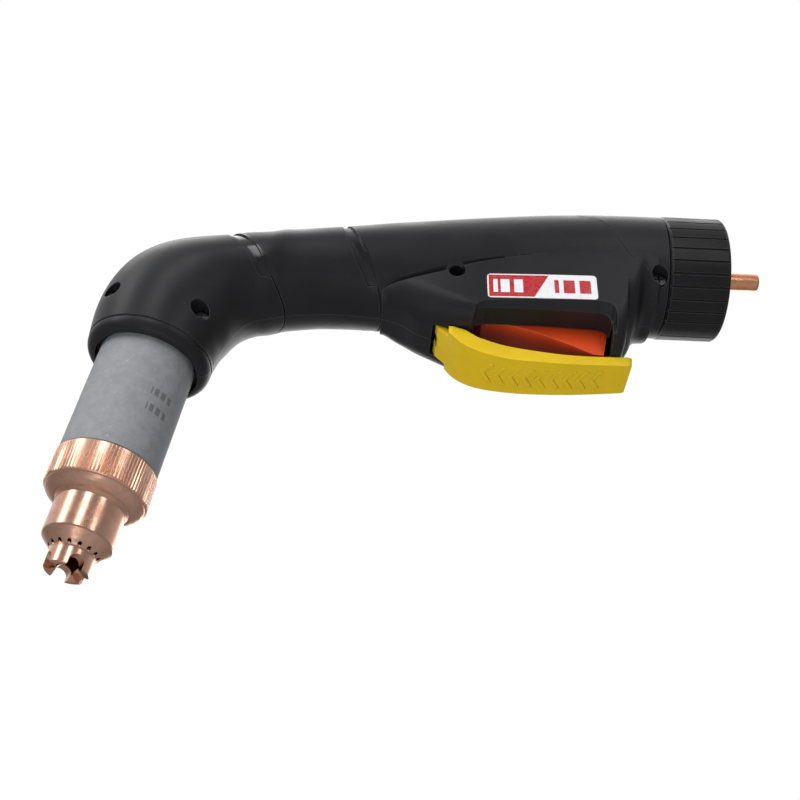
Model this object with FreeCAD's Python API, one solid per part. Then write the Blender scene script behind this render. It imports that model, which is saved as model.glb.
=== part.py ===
import FreeCAD, Part
import os, math
from FreeCAD import Vector, Matrix, Placement

# Handheld cutting torch with an angled head, in millimetres.
# +X runs along the handle towards the lead (rear), +Z is up, -Y is the rating-plate side.
# The origin is the centre of the coupling nut's rear face.  The head axis crosses the
# handle axis at HEAD_X and leans by HEAD_LEAN, its lower end towards the front (-X).
os.makedirs("parts", exist_ok=True)

# ------------------------------------------------------------------ shared dimensions
HEAD_X = -188.0
HEAD_LEAN = 10.6                    # degrees from vertical
RUN = 0.05                          # running gap, radial
MOUTH_R = 13.9                      # opening of the handle round the retaining cap
HEAD_SEAT_R = 11.1                  # bore in the shells that holds the head body
SPIGOT_R = 17.5                     # collar spigot under the nut
SCREW_R = 1.5
SCREW_HEAD_R = 2.65
SCREW_CLEAR_R = SCREW_R + 0.15
SCREW_PILOT_R = SCREW_R + 0.01
COUNTERBORE_R = 2.9
COLLAR_SCREW = (-25.0, -13.7)       # x, z
COLLAR_SCREW_SEAT = -13.3           # y of the counterbore floor
PIN_R = 1.2
PIN_HOLE_R = PIN_R + RUN
PIN_LENGTH = 23.8
LEVER_PIN = (-98.6, -30.9)          # x, z
TRIGGER_PIN = (-86.0, -24.0)
SWITCH_PEGS = [(-75.6, -10.6), (-62.4, -10.6)]
SPRING_X = -49.2                    # trigger spring

ORIGIN = Vector(0, 0, 0)
X_AXIS = Vector(1, 0, 0)
Y_AXIS = Vector(0, 1, 0)
Z_AXIS = Vector(0, 0, 1)

LEAN = math.radians(HEAD_LEAN)
HEAD_DOWN = Vector(-math.sin(LEAN), 0, -math.cos(LEAN))
HEAD_REAR = Vector(math.cos(LEAN), 0, -math.sin(LEAN))
# local head frame: X towards the handle, Y along world -Y, Z down the head axis
HEAD_FRAME = Placement(Matrix(HEAD_REAR.x, 0, HEAD_DOWN.x, HEAD_X,
                              0, -1, 0, 0,
                              HEAD_REAR.z, 0, HEAD_DOWN.z, 0,
                              0, 0, 0, 1))


# ------------------------------------------------------------------ helpers
def export(name, shape):
    shape.exportStep("parts/" + name + ".step")


def to_head(shape):
    """Copy of a shape moved from the local head frame to its place."""
    placed = shape.copy()
    placed.Placement = HEAD_FRAME.multiply(placed.Placement)
    return placed


def head_point(down, rear):
    """World (x, z) at a distance down the head axis and towards the handle."""
    p = Vector(HEAD_X, 0, 0) + HEAD_DOWN * down + HEAD_REAR * rear
    return (p.x, p.z)


def polygon(points):
    return Part.makePolygon(points + [points[0]])


def polygon_face(points):
    return Part.Face(polygon(points))


def spline_edge(points):
    curve = Part.BSplineCurve()
    curve.interpolate(Points=points)
    return curve.toShape()


def turn(profile):
    """Solid of revolution about Z from (radius, z) points."""
    return polygon_face([Vector(r, 0, z) for r, z in profile]).revolve(ORIGIN, Z_AXIS, 360)


def turn_x(profile):
    """Solid of revolution about X from (x, radius) points."""
    return polygon_face([Vector(x, 0, r) for x, r in profile]).revolve(ORIGIN, X_AXIS, 360)


def ring_x(x0, x1, inner, outer):
    return turn_x([(x0, inner), (x0, outer), (x1, outer), (x1, inner)])


def rod_x(radius, length, x0, y=0, z=0):
    return Part.makeCylinder(radius, length, Vector(x0, y, z), X_AXIS)


def rod_y(radius, length, centre, y0):
    """Cylinder along +Y from y0, centred on (x, z)."""
    return Part.makeCylinder(radius, length, Vector(centre[0], y0, centre[1]), Y_AXIS)


def rod_z(radius, length, x, z0):
    return Part.makeCylinder(radius, length, Vector(x, 0, z0), Z_AXIS)


def box(x0, x1, y0, y1, z0, z1):
    return Part.makeBox(x1 - x0, y1 - y0, z1 - z0, Vector(x0, y0, z0))


def prism(outline, y0, y1):
    """(x, z) polygon extruded along Y."""
    return polygon_face([Vector(x, y0, z) for x, z in outline]).extrude(Vector(0, y1 - y0, 0))


def spline_prism(curve, corners, depth):
    """Prism from y = -depth to 0: a smooth (x, z) curve closed by straight lines."""
    top = [Vector(x, -depth, z) for x, z in curve]
    chain = [top[-1]] + [Vector(x, -depth, z) for x, z in corners] + [top[0]]
    lines = [Part.makeLine(a, b) for a, b in zip(chain[:-1], chain[1:])]
    return Part.Face(Part.Wire([spline_edge(top)] + lines)).extrude(Vector(0, depth, 0))


def fillet_along_y(block, radius):
    edges = [edge for edge in block.Edges
             if abs(edge.Vertexes[0].Y - edge.Vertexes[1].Y) > 5]
    return block.makeFillet(radius, edges)


def merge(first, *others):
    for other in others:
        first = first.fuse(other)
    return first.removeSplitter()


def biggest(shape):
    return max(shape.Solids, key=lambda solid: solid.Volume)


def spin(shape, degrees):
    shape.rotate(ORIGIN, Z_AXIS, degrees)
    return shape


NEAR_SIDE = box(-300, 100, -60, 0, -150, 80)


def near(shape):
    return shape.common(NEAR_SIDE)


def mirror(shape):
    return shape.mirror(ORIGIN, Y_AXIS)


def wire_section(radius, centre, direction, sides=8):
    """Polygon square to direction, with about the area of a circle of the radius."""
    across = X_AXIS if abs(direction.x) < 0.7 * direction.Length else Y_AXIS
    side = direction.cross(across).normalize()
    across = side.cross(direction).normalize()
    reach = radius * (1 + 3.2 / sides / sides)
    points = []
    for k in range(sides):
        angle = 2 * math.pi * k / sides
        points.append(centre + across * (reach * math.cos(angle))
                      + side * (reach * math.sin(angle)))
    return polygon(points)


def helix_wire(radius, wire_r, pitch, height, z0, slope):
    """Wire wound about Z; slope is the rise per length of the section's direction."""
    helix = Part.makeHelix(pitch, height, radius)
    helix.translate(Vector(0, 0, z0))
    profile = wire_section(wire_r, Vector(radius, 0, z0), Vector(0, 1, slope))
    return Part.Wire(helix.Edges).makePipeShell([profile], True, True)


def coil(radius, wire_d, turns, z0, z1):
    """Open coil about Z that fills z0 to z1."""
    height = z1 - z0 - wire_d
    slope = (z1 - z0) / turns / (2 * math.pi * radius)
    return helix_wire(radius, wire_d / 2, height / turns, height, z0 + wire_d / 2, slope)


def cable(points, radius):
    """Round cable along a smooth curve through points."""
    curve = Part.BSplineCurve()
    curve.interpolate(Points=[Vector(*p) for p in points])
    start = curve.tangent(curve.FirstParameter)[0]
    profile = Part.Face(wire_section(radius, Vector(*points[0]), start, sides=12))
    return Part.Wire(curve.toShape()).makePipe(profile)


def cross_screw(centre, seat, head_height, shank_length, arm, slot):
    """Screw pointing to +Y, head seated at y = seat; arm and slot are the half
    length and half width of its cross recess."""
    x, z = centre
    top = seat - head_height
    head = rod_y(SCREW_HEAD_R, head_height, centre, top)
    recess = box(x - arm, x + arm, top - 0.1, seat - 0.9, z - slot, z + slot).fuse(
        box(x - slot, x + slot, top - 0.1, seat - 0.9, z - arm, z + arm))
    shank = rod_y(SCREW_R, shank_length, centre, seat)
    return head.fuse(shank).cut(recess).removeSplitter()


def screw_hole(centre, seat, clear_y0, clear_length):
    """Counterbore down to y = seat with a clearance hole through it."""
    return rod_y(COUNTERBORE_R, 20, centre, seat - 20).fuse(
        rod_y(SCREW_CLEAR_R, clear_length, centre, clear_y0))


# ------------------------------------------------------------------ handle form
# Everything for the handle is made for the -Y half and mirrored for the other side.
# Handle tube: station x, centre z, half height, half width
TUBE = [
    (-21.6, 0, 21.6, 21.6), (-28, 0, 21.6, 21.6), (-36, -0.1, 21.68, 21.5),
    (-45, -0.3, 21.7, 21.4), (-60, -1.0, 21.6, 21.1), (-80, -2.4, 20.9, 20.6),
    (-100, -3.9, 19.8, 20.0), (-112, -4.9, 19.1, 19.75), (-120, -5.6, 18.6, 19.6),
    (-125, -5.9, 17.8, 19.6), (-130, -6.3, 17.0, 19.7), (-135, -6.7, 16.5, 19.8),
    (-140, -7.15, 16.1, 19.8), (-145, -7.8, 16.0, 19.8), (-150, -8.5, 16.0, 19.9),
    (-154, -9.1, 16.05, 20.2)]
# Bend into the head, stations fanned about FAN (x, z):
# angle in degrees, inner radius, outer radius, half width
FAN = (-158.0, -51.4)
BEND = [
    (90.0, 25.0, 56.9, 20.6), (98.0, 24.5, 56.6, 20.6), (106.0, 23.7, 56.8, 20.7),
    (114.0, 22.5, 58.4, 21.2), (122.0, 21.0, 60.9, 21.83), (130.0, 19.6, 63.5, 22.15),
    (138.0, 18.8, 64.9, 22.18), (146.0, 18.3, 64.6, 22.1), (154.0, 17.9, 63.3, 21.9),
    (162.0, 17.8, 61.6, 21.6), (169.4, 17.85, 60.1, 21.2)]
SECTION_POINTS = 9                  # per half section
# Trigger guard skirt: x, bottom z, half width, corner radius
SKIRT = [
    (-119.6, -24.6, 11.7, 5.5), (-116.0, -25.3, 14.4, 7.6), (-112.5, -26.8, 15.7, 7.8),
    (-109.0, -29.3, 16.6, 9.6), (-105.6, -31.2, 17.25, 10.2), (-102.0, -32.3, 17.75, 9.6),
    (-97.0, -33.9, 18.2, 8.4), (-91.0, -35.0, 18.7, 6.6), (-80.0, -36.5, 19.3, 6.0),
    (-65.0, -39.5, 19.85, 8.5), (-52.0, -41.8, 20.2, 11.5), (-43.0, -42.4, 20.35, 13.0),
    (-39.6, -41.9, 20.4, 13.4), (-37.6, -36.8, 20.4, 14.2), (-35.2, -31.0, 20.4, 15.2),
    (-32.0, -26.4, 20.4, 16.0), (-28.6, -22.6, 20.3, 16.2), (-24.6, -19.8, 20.0, 15.4)]
SKIRT_TOP = -4.0


def section_rows(inset):
    """-Y half of every handle section, bottom to top, shrunk by inset."""
    # base x and z, direction x and z, centre distance along it, half height, half width
    stations = [(x, 0, 0, 1, centre, high, wide) for x, centre, high, wide in TUBE]
    for degrees, inner, outer, wide in BEND:
        angle = math.radians(degrees)
        stations.append((FAN[0], FAN[1], math.cos(angle), math.sin(angle),
                         (inner + outer) / 2, (outer - inner) / 2, wide))
    rows = []
    for base_x, base_z, dir_x, dir_z, centre, high, wide in stations:
        row = []
        for k in range(SECTION_POINTS):
            angle = -math.pi / 2 - math.pi * k / (SECTION_POINTS - 1)
            reach = centre + (high - inset) * math.sin(angle)
            row.append(Vector(base_x + reach * dir_x, (wide - inset) * math.cos(angle),
                              base_z + reach * dir_z))
        row[0].y = 0
        row[-1].y = 0
        rows.append(row)
    return rows


def half_tube(inset):
    """-Y half of the handle body, one smooth surface closed at y = 0."""
    surface = Part.BSplineSurface()
    surface.interpolate(section_rows(inset))
    skin = surface.toShape()
    ends, seams = [], []
    for edge in skin.Edges:
        middle = edge.valueAt((edge.FirstParameter + edge.LastParameter) / 2)
        (seams if abs(middle.y) < 1e-6 else ends).append(edge)
    faces, lines = [skin], []
    for edge in ends:
        line = Part.makeLine(edge.Vertexes[0].Point, edge.Vertexes[1].Point)
        lines.append(line)
        faces.append(Part.Face(Part.Wire([edge, line])))
    faces.append(Part.Face(Part.Wire(Part.__sortEdges__(seams + lines))))
    closed = Part.makeShell(faces)
    closed.sewShape()
    solid = Part.Solid(closed)
    if solid.Volume < 0:
        solid.reverse()
    return solid


def half_skirt(inset):
    """-Y half of the trigger guard skirt, shrunk by inset."""
    wires = []
    for x, bottom, half_width, corner in SKIRT:
        low = bottom + inset
        wide = half_width - inset
        r = max(corner - inset, 1.5)
        points = [Vector(x, 0, SKIRT_TOP), Vector(x, -wide, SKIRT_TOP),
                  Vector(x, -wide, low + r), Vector(x, -wide + r, low), Vector(x, 0, low)]
        sag = r * (1 - math.sqrt(0.5))
        middle = Vector(x, -wide + sag, low + sag)
        wires.append(Part.Wire([Part.makeLine(points[0], points[1]),
                                Part.makeLine(points[1], points[2]),
                                Part.Arc(points[2], middle, points[3]).toShape(),
                                Part.makeLine(points[3], points[4]),
                                Part.makeLine(points[4], points[0])]))
    return Part.makeLoft(wires, True, False)


def mouth_ring():
    """Rounded ring at the handle's mouth, round the retaining cap."""
    outer, flat, rounding = 21.0, 17.5, 4.2      # outer radius, end face radius, edge
    top, inner_end, end = 42.6, 46.8, 49.9
    diagonal = math.sin(math.radians(45))
    shoulder = end - rounding
    points = [Vector(r, 0, z) for r, z in (
        (MOUTH_R, top), (20.0, top), (outer, shoulder), (flat, end),
        (flat, inner_end), (MOUTH_R, inner_end))]
    middle = Vector(flat + (outer - flat) * diagonal, 0, shoulder + rounding * diagonal)
    edges = [Part.makeLine(points[0], points[1]), Part.makeLine(points[1], points[2]),
             Part.Arc(points[2], middle, points[3]).toShape(),
             Part.makeLine(points[3], points[4]), Part.makeLine(points[4], points[5]),
             Part.makeLine(points[5], points[0])]
    return to_head(Part.Face(Part.Wire(edges)).revolve(ORIGIN, Z_AXIS, 360))


def tube_half_width(x, z):
    """Half width of the handle tube at x, z."""
    for rear, front in zip(TUBE[:-1], TUBE[1:]):
        if front[0] <= x <= rear[0]:
            t = (x - rear[0]) / (front[0] - rear[0])
            centre, high, wide = [rear[k] + t * (front[k] - rear[k]) for k in (1, 2, 3)]
            return wide * math.sqrt(max(1 - ((z - centre) / high) ** 2, 0.0))
    return 20.0


# upper edge of the proud side panel, and the groove line above it: x, z
PANEL_EDGE = [
    (-121.0, -21.4), (-119.6, -20.6), (-113.9, -19.7), (-107.3, -18.6), (-100.6, -17.0),
    (-97.1, -15.9), (-90.4, -13.6), (-80.1, -11.2), (-70.0, -9.2), (-56.0, -7.2),
    (-44.0, -6.0), (-24.0, -5.0)]
GROOVE_LINE = [
    (-121.4, -20.2), (-114.0, -17.6), (-107.3, -15.9), (-103.8, -14.9), (-97.1, -13.2),
    (-90.3, -11.7), (-80.2, -9.9), (-73.0, -9.0), (-64.0, -8.2)]


def groove_cutter():
    """Wedge below GROOVE_LINE: its top face runs from the surface inwards and down,
    so the cut is a V whose other side is the panel's edge."""
    depth, slope, drop, proud = 1.9, 0.75, 7.0, 2.0
    wires = []
    for x, z in GROOVE_LINE:
        y = tube_half_width(x, z)
        wires.append(polygon([
            Vector(x, -(y + proud), z + proud * slope),
            Vector(x, -(y - depth), z - depth * slope),
            Vector(x, -(y - depth), z - depth * slope - 0.05),
            Vector(x, -(y + proud), z - drop)]))
    return Part.makeLoft(wires, True, True)


tube_outer = half_tube(0)
skirt_outer = half_skirt(0).common(
    spline_prism(PANEL_EDGE, [(-24.0, -60.0), (-121.0, -60.0)], 30))

# ------------------------------------------------------------------ neck bands
# Two shallow recesses, each between a rear and a front (x, z) line, and the z they end at
BANDS = [
    ([(-188.5, 22.0), (-175.5, 5.3), (-167.9, -4.5), (-165.3, -7.6), (-162.6, -11.4),
      (-160.6, -15.4), (-158.1, -19.1), (-155.3, -22.2), (-151.5, -25.5), (-149.0, -29.0)],
     [(-189.6, 22.0), (-177.3, 4.2), (-171.9, -5.6), (-168.3, -10.5), (-165.7, -14.2),
      (-163.8, -17.4), (-161.4, -20.6), (-158.3, -24.0), (-156.0, -27.0)], -20.9),
    ([(-136.0, 17.5), (-130.2, 0.5), (-128.6, -3.9), (-126.9, -8.3), (-124.6, -12.9),
      (-122.9, -16.5), (-120.9, -20.2), (-118.9, -24.6), (-117.5, -30.0)],
     [(-136.9, 17.5), (-132.6, -4.0), (-130.5, -10.6), (-128.4, -14.7), (-126.1, -18.2),
      (-123.8, -21.3), (-122.0, -24.0)], -20.0)]
BAND_DEPTH = 0.65
SLIT_WIDTH = 0.7


def band(rear, front, end_z):
    """Area between the lines above end_z, and a slit along the rear line below it."""
    area = prism(rear + front[::-1], -30, 0).common(box(-200, -80, -30, 0, end_z, 40))
    slit = prism(rear + [(x - SLIT_WIDTH, z) for x, z in rear[::-1]], -30, 0)
    return area.fuse(slit.common(box(-200, -80, -30, 0, -45, end_z + 0.5)))


# ------------------------------------------------------------------ rating plate
PLATE = (-84.95, -47.85, -28.65, -18.0)      # x0, x1, z0, z1 of its recess
PLATE_THICK = 0.45
PLATE_GAP = 0.12


def plate_block(inset, corner):
    x0, x1, z0, z1 = PLATE
    return fillet_along_y(
        box(x0 + inset, x1 - inset, -30, -10, z0 + inset, z1 - inset), corner)


skirt_skin = half_skirt(0).cut(half_skirt(PLATE_THICK))
export("rating_plate", biggest(skirt_skin.common(plate_block(PLATE_GAP, 1.3))))
plate_recess = skirt_skin.common(plate_block(0, 1.4))

# ------------------------------------------------------------------ common half shell
# S-shaped joint between shells and rear collar: x, z
JOINT_LINE = [
    (-51.2, 26.0), (-50.9, 18.0), (-49.9, 11.8), (-46.6, 10.6), (-44.3, 8.6), (-42.3, 5.9),
    (-40.6, 3.0), (-39.2, -0.3), (-37.1, -4.6), (-35.2, -7.6), (-32.6, -10.2),
    (-29.8, -12.6), (-28.2, -15.2), (-26.6, -18.6), (-25.4, -22.0), (-24.8, -26.0),
    (-25.0, -45.0)]
rear_zone = spline_prism(JOINT_LINE, [(30.0, -45.0), (30.0, 26.0)], 40)

# trigger opening, and the outline of its sloped lip: x, z
OPENING = [
    (-90.2, -60.0), (-90.2, -35.6), (-89.4, -33.6), (-87.8, -31.9), (-85.6, -31.3),
    (-66.0, -31.0), (-47.2, -31.8), (-44.8, -32.4), (-43.6, -33.6), (-43.1, -35.6),
    (-42.6, -60.0)]
OPENING_LIP = [
    (-91.4, -60.0), (-91.4, -35.6), (-90.4, -32.4), (-88.2, -30.3), (-85.6, -29.4),
    (-66.0, -29.1), (-47.0, -29.9), (-43.6, -30.7), (-42.2, -32.6), (-41.9, -35.6),
    (-41.6, -60.0)]
# wall over the opening, ending short of y = 0 to leave a slot for the trigger
OPENING_WALL = [(-90.8, -34.0), (-90.8, -29.2), (-42.6, -29.2), (-42.6, -35.0)]
TRIGGER_SLOT = 8.2                  # half width

opening = prism(OPENING, -30, 0)
lever_pocket = box(-102.4, -89.0, -8.1, 0, -60.0, -27.4)


def common_shell():
    """-Y half shell with what both shells share, before posts and holes."""
    wall, rear_wall, skirt_wall = 2.6, 5.7, 2.5
    body = tube_outer.fuse(near(mouth_ring())).cut(groove_cutter()).fuse(skirt_outer)
    body = body.removeSplitter()
    hollow = half_tube(wall).common(box(-240, -56.0, -60, 0, -80, 60))
    rear_hollow = half_tube(rear_wall).common(box(-57, -10, -60, 0, -80, 60))
    skirt_hollow = half_skirt(skirt_wall).common(box(-89.5, -41.5, -30, 0, -60, -5))
    mouth = near(to_head(turn([(0, 40), (MOUTH_R, 40), (MOUTH_R, 60), (0, 60)])))
    shell = body.cut(hollow.fuse(rear_hollow)).cut(skirt_hollow).cut(mouth)
    over = prism(OPENING_WALL, -19.0, -TRIGGER_SLOT)
    shell = shell.fuse(over.common(skirt_outer)).removeSplitter()
    band_skin = tube_outer.cut(half_tube(BAND_DEPTH))
    for recess in [band_skin.common(band(*row)) for row in BANDS]:
        shell = shell.cut(recess)
    slope_run, slope = 9.0, 0.9
    lip = polygon_face([Vector(x, -25.0, z + 5.2) for x, z in OPENING_LIP])
    lip = lip.extrude(Vector(0, slope_run, -slope_run * slope))
    shell = shell.cut(opening).cut(lever_pocket).cut(lip)
    # the shell stops short of the collar's edge for a fine open joint line,
    # while its tongue carries on under the collar
    seam = rear_zone.copy()
    seam.translate(Vector(-0.2, 0, -0.15))
    return shell.cut(seam.cut(half_tube(3.15))).common(box(-230, -23.4, -40, 0, -80, 40))


shell = common_shell()

# ------------------------------------------------------------------ left and right shells
# Shell screws: (x, z), y of the counterbore floor
SHELL_SCREWS = [(head_point(34.4, 15.1), -9.4), (head_point(33.0, -15.1), -9.4),
                ((-94.8, -16.4), -8.4)]
PIN_HOLE_DEPTH = 12.1
RIB_THICK = 1.8

trigger_boss = rod_y(3.4, 9.4, TRIGGER_PIN, -18.0)
spring_seat = box(-52.4, -45.4, -19.5, 0, -14.6, -12.6)
head_ribs = [near(to_head(turn([(HEAD_SEAT_R, z), (24, z), (24, z + RIB_THICK),
                                (HEAD_SEAT_R, z + RIB_THICK)]))) for z in (24.0, 38.6)]
shared_holes = [
    rod_y(SCREW_PILOT_R, 9.0, COLLAR_SCREW, -13.5),
    rod_y(COUNTERBORE_R, 10, COLLAR_SCREW, COLLAR_SCREW_SEAT - 10),
    rod_y(PIN_HOLE_R, PIN_HOLE_DEPTH, TRIGGER_PIN, -PIN_HOLE_DEPTH),
    rod_y(PIN_HOLE_R, PIN_HOLE_DEPTH, LEVER_PIN, -PIN_HOLE_DEPTH)]
outer_form = tube_outer.fuse(skirt_outer)
head_clearance = to_head(turn([(0, 12.3), (HEAD_SEAT_R, 12.3), (HEAD_SEAT_R, 60), (0, 60)]))


def half_shell(posts, cuts):
    """-Y shell with its posts and ribs trimmed to the outer form, then its holes."""
    half = shell
    for post in posts + [trigger_boss, spring_seat] + head_ribs:
        half = half.fuse(near(post).common(outer_form))
    for cutter in cuts + shared_holes + [lever_pocket, opening, head_clearance]:
        half = half.cut(cutter)
    return biggest(half.removeSplitter())


def left_shell():
    posts = [rod_y(3.9, 22, centre, -22.0) for centre, seat in SHELL_SCREWS]
    posts += [rod_y(2.6, 16.8, centre, -20.0) for centre in SWITCH_PEGS]
    cuts = [screw_hole(centre, seat, -23, 24) for centre, seat in SHELL_SCREWS]
    half = half_shell(posts, cuts + [plate_recess])
    for centre in SWITCH_PEGS:
        half = half.fuse(rod_y(1.15, 6.4, centre, -3.3))
    return half.removeSplitter()


def right_shell():
    posts = [mirror(rod_y(3.4, 22, centre, 0.0)) for centre, seat in SHELL_SCREWS]
    posts += [rod_y(2.6, 16.6, centre, -20.0) for centre in SWITCH_PEGS]
    cuts = [mirror(rod_y(SCREW_PILOT_R, 10.5, centre, 0)) for centre, seat in SHELL_SCREWS]
    return mirror(half_shell(posts, cuts))


export("handle_shell_left", left_shell())
export("handle_shell_right", right_shell())
export("shell_screws", Part.makeCompound(
    [cross_screw(centre, seat, head_height=1.9, shank_length=9.8 - seat, arm=1.5, slot=0.28)
     for centre, seat in SHELL_SCREWS]))


# ------------------------------------------------------------------ rear collar
def rear_collar():
    """Sleeve behind the joint line, with an end wall and the nut's spigot."""
    bore = 14.0
    half = biggest(tube_outer.fuse(skirt_outer).common(rear_zone).cut(half_tube(3.1)))
    end_wall = rod_x(20.0, 1.6, -23.2).cut(rod_x(bore, 1.6, -23.2))
    spigot = rod_x(SPIGOT_R, 17.5, -22.0).cut(rod_x(bore, 17.5, -22.0))
    collar = merge(half, mirror(half), end_wall, spigot)
    collar = collar.cut(ring_x(-7.25, -6.15, 16.4, 18.0))      # snap ring groove
    hole = screw_hole(COLLAR_SCREW, COLLAR_SCREW_SEAT, -15, 10)
    return collar.cut(hole).cut(mirror(hole)).removeSplitter()


export("rear_collar", rear_collar())
# one short screw each side through the collar into the shell tongue
collar_screw = cross_screw(COLLAR_SCREW, COLLAR_SCREW_SEAT, head_height=1.7,
                           shank_length=8.0, arm=1.4, slot=0.27)
export("collar_screws", Part.makeCompound([collar_screw, mirror(collar_screw)]))

# ------------------------------------------------------------------ lead tube
LEAD_R = 3.06                       # at the exposed rear end
LEAD_INNER_R = LEAD_R - 0.2         # outside radius within the handle
LEAD_BORE_R = 1.7
LEAD_OUT = 15.5                     # length past the nut
LEAD_START = Vector(-181.5, 0, -18.6)
LEAD_SLOPE = Vector(10, 0, 2.2)     # direction at the head end

lead_curve = Part.BSplineCurve()
lead_curve.interpolate(
    Points=[LEAD_START, Vector(-170, 0, -15.2), Vector(-152, 0, -8.2),
            Vector(-130, 0, -2.2), Vector(-108, 0, 0)],
    InitialTangent=LEAD_SLOPE, FinalTangent=Vector(10, 0, 0))
lead_path = Part.Wire([lead_curve.toShape(),
                       Part.makeLine(Vector(-108, 0, 0), Vector(-6.0, 0, 0))])


def lead_sweep(radius):
    direction = Vector(LEAD_SLOPE).normalize()
    circle = Part.makeCircle(radius, LEAD_START, direction)
    return lead_path.makePipe(Part.Face(Part.Wire(circle)))


def lead_tube():
    end = turn_x([(-6.2, 0), (-6.2, LEAD_R), (LEAD_OUT - 0.9, LEAD_R),
                  (LEAD_OUT - 0.45, LEAD_R - 0.12), (LEAD_OUT - 0.12, LEAD_R - 0.45),
                  (LEAD_OUT, LEAD_R - 0.9), (LEAD_OUT, 0)])
    lead = merge(lead_sweep(LEAD_INNER_R), end)
    return biggest(lead.cut(lead_sweep(LEAD_BORE_R)).cut(rod_x(LEAD_BORE_R, 30, -7)))


export("lead_tube", lead_tube())

# ------------------------------------------------------------------ head stack
# Made in the local head frame; z is the distance down the head axis.
THREAD_R = 11.4                     # retaining cap thread on the head body
THREAD_PITCH = 1.5
THREAD_GROOVES = 9
HEAD_BORE_R = 8.1
CAP_R = 32.0 / 2
CAP_TOP, CAP_END = 47.7, 90.9       # span of the cap sleeve


def torch_head_body():
    body = turn([
        (0, 12.5), (9.6, 12.5), (11.0, 13.9), (11.0, 41.2), (15.0, 41.2), (15.0, 44.7),
        (13.6, 44.7), (13.6, 47.2), (THREAD_R, 47.4), (THREAD_R, 62.0), (11.1, 62.0),
        (11.1, 63.1), (9.6, 63.1), (9.6, 65.1), (11.1, 65.1), (11.1, 66.4), (10.6, 67.0),
        (HEAD_BORE_R, 67.0), (HEAD_BORE_R, 22.0), (0, 22.0)])
    for k in range(THREAD_GROOVES):
        z = 48.4 + THREAD_PITCH * k
        body = body.cut(turn([(THREAD_R + 0.2, z - 0.55), (THREAD_R - 0.55, z),
                              (THREAD_R + 0.2, z + 0.55)]))
    body = to_head(body).cut(lead_sweep(LEAD_INNER_R + 0.02)).cut(lead_sweep(LEAD_BORE_R))
    return biggest(body)


def electrode():
    body = turn([
        (0, 62.0), (3.6, 62.0), (4.0, 62.4), (4.0, 71.6), (5.5, 73.7), (5.5, 83.0),
        (4.6, 83.9), (4.6, 105.0), (3.6, 109.6), (2.6, 110.6), (0.9, 110.6),
        (0.9, 106.6), (0, 106.6)])
    for k in range(5):
        z = 86.5 + 3.0 * k
        body = body.cut(turn([(4.9, z), (4.15, z), (4.15, z + 1.2), (4.9, z + 1.2)]))
    return to_head(body)


def swirl_ring():
    """Waisted ring with six holes set off from the radial direction."""
    ring = turn([(6.1, 72.2), (10.1, 72.2), (10.1, 76.0), (9.2, 76.6), (9.2, 80.2),
                 (10.1, 80.8), (10.1, 84.4), (6.1, 84.4)])
    for k in range(6):
        ring = ring.cut(spin(rod_x(0.5, 14, 0, 4.6, 78.4), 60.0 * k))
    return to_head(ring)


# Plain turned pieces: (radius, z)
HEAD_TURNINGS = {
    "head_insulator": [
        (5.8, 24.0), (8.08, 24.0), (8.08, 67.1), (8.9, 67.3), (8.9, 69.6), (5.8, 69.6)],
    "cathode_body": [
        (0, 23.0), (5.0, 23.0), (5.75, 23.8), (5.75, 69.4), (4.05, 69.4), (4.05, 52.0),
        (1.4, 52.0), (1.4, 30.0), (0, 30.0)],
    "emitter_insert": [(0, 106.62), (0.89, 106.62), (0.89, 110.6), (0, 110.6)],
    "nozzle": [
        (6.4, 84.5), (10.05, 84.5), (10.05, 87.8), (8.75, 87.8), (8.75, 107.5),
        (8.2, 109.2), (4.4, 116.0), (3.0, 117.2), (3.0, 118.0), (0.75, 118.0),
        (0.75, 113.6), (4.3, 110.2), (6.0, 106.0), (6.4, 104.0)],
    # insulating sleeve over a threaded liner
    "retaining_cap_sleeve": [
        (13.42, CAP_TOP), (CAP_R - 0.5, CAP_TOP), (CAP_R, CAP_TOP + 0.5),
        (CAP_R, CAP_END - 0.25), (CAP_R - 0.25, CAP_END), (13.42, CAP_END)],
    "retaining_cap_liner": [
        (THREAD_R + RUN, 48.0), (13.4, 48.0), (13.4, CAP_END), (12.6, CAP_END),
        (12.6, 98.4), (12.1, 98.9), (8.85, 98.9), (8.85, 87.9), (10.2, 87.9),
        (10.2, 71.5), (THREAD_R + RUN, 70.0)],
}

export("torch_head_body", torch_head_body())
export("electrode", electrode())
export("swirl_ring", swirl_ring())
for name, profile in HEAD_TURNINGS.items():
    export(name, to_head(turn(profile)))
export("start_spring", to_head(coil(radius=3.3, wire_d=0.7, turns=5, z0=52.1, z1=59.8)))
export("o_ring", to_head(Part.makeTorus(10.42, 0.78, Vector(0, 0, 64.1))))

# ------------------------------------------------------------------ shield
KNURL_R = 16.5                      # grip ring
KNURL_COUNT = 90
KNURL_DEPTH = 0.42
BARREL_R = 11.15
NOSE_R = 7.0
SHIELD_END = 128.9
VENT_COUNT = 15
VENT_R = 0.62
NOTCH_R = 2.45
NOTCH_Z = 127.4


def knurled_ring():
    step = 2 * math.pi / KNURL_COUNT
    points = []
    for k in range(KNURL_COUNT):
        for fraction, r in ((0.0, KNURL_R - KNURL_DEPTH), (0.32, KNURL_R), (0.68, KNURL_R)):
            angle = (k + fraction) * step
            points.append(Vector(r * math.cos(angle), r * math.sin(angle), 91.3))
    ring = polygon_face(points).extrude(Vector(0, 0, 11.0))
    # turned envelope that bevels the ends of the teeth
    return ring.common(turn([
        (14.0, 91.3), (KNURL_R - 0.1, 91.3), (KNURL_R + 0.1, 91.55),
        (KNURL_R + 0.1, 101.65), (KNURL_R - 0.5, 102.3), (14.0, 102.3)]))


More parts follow.
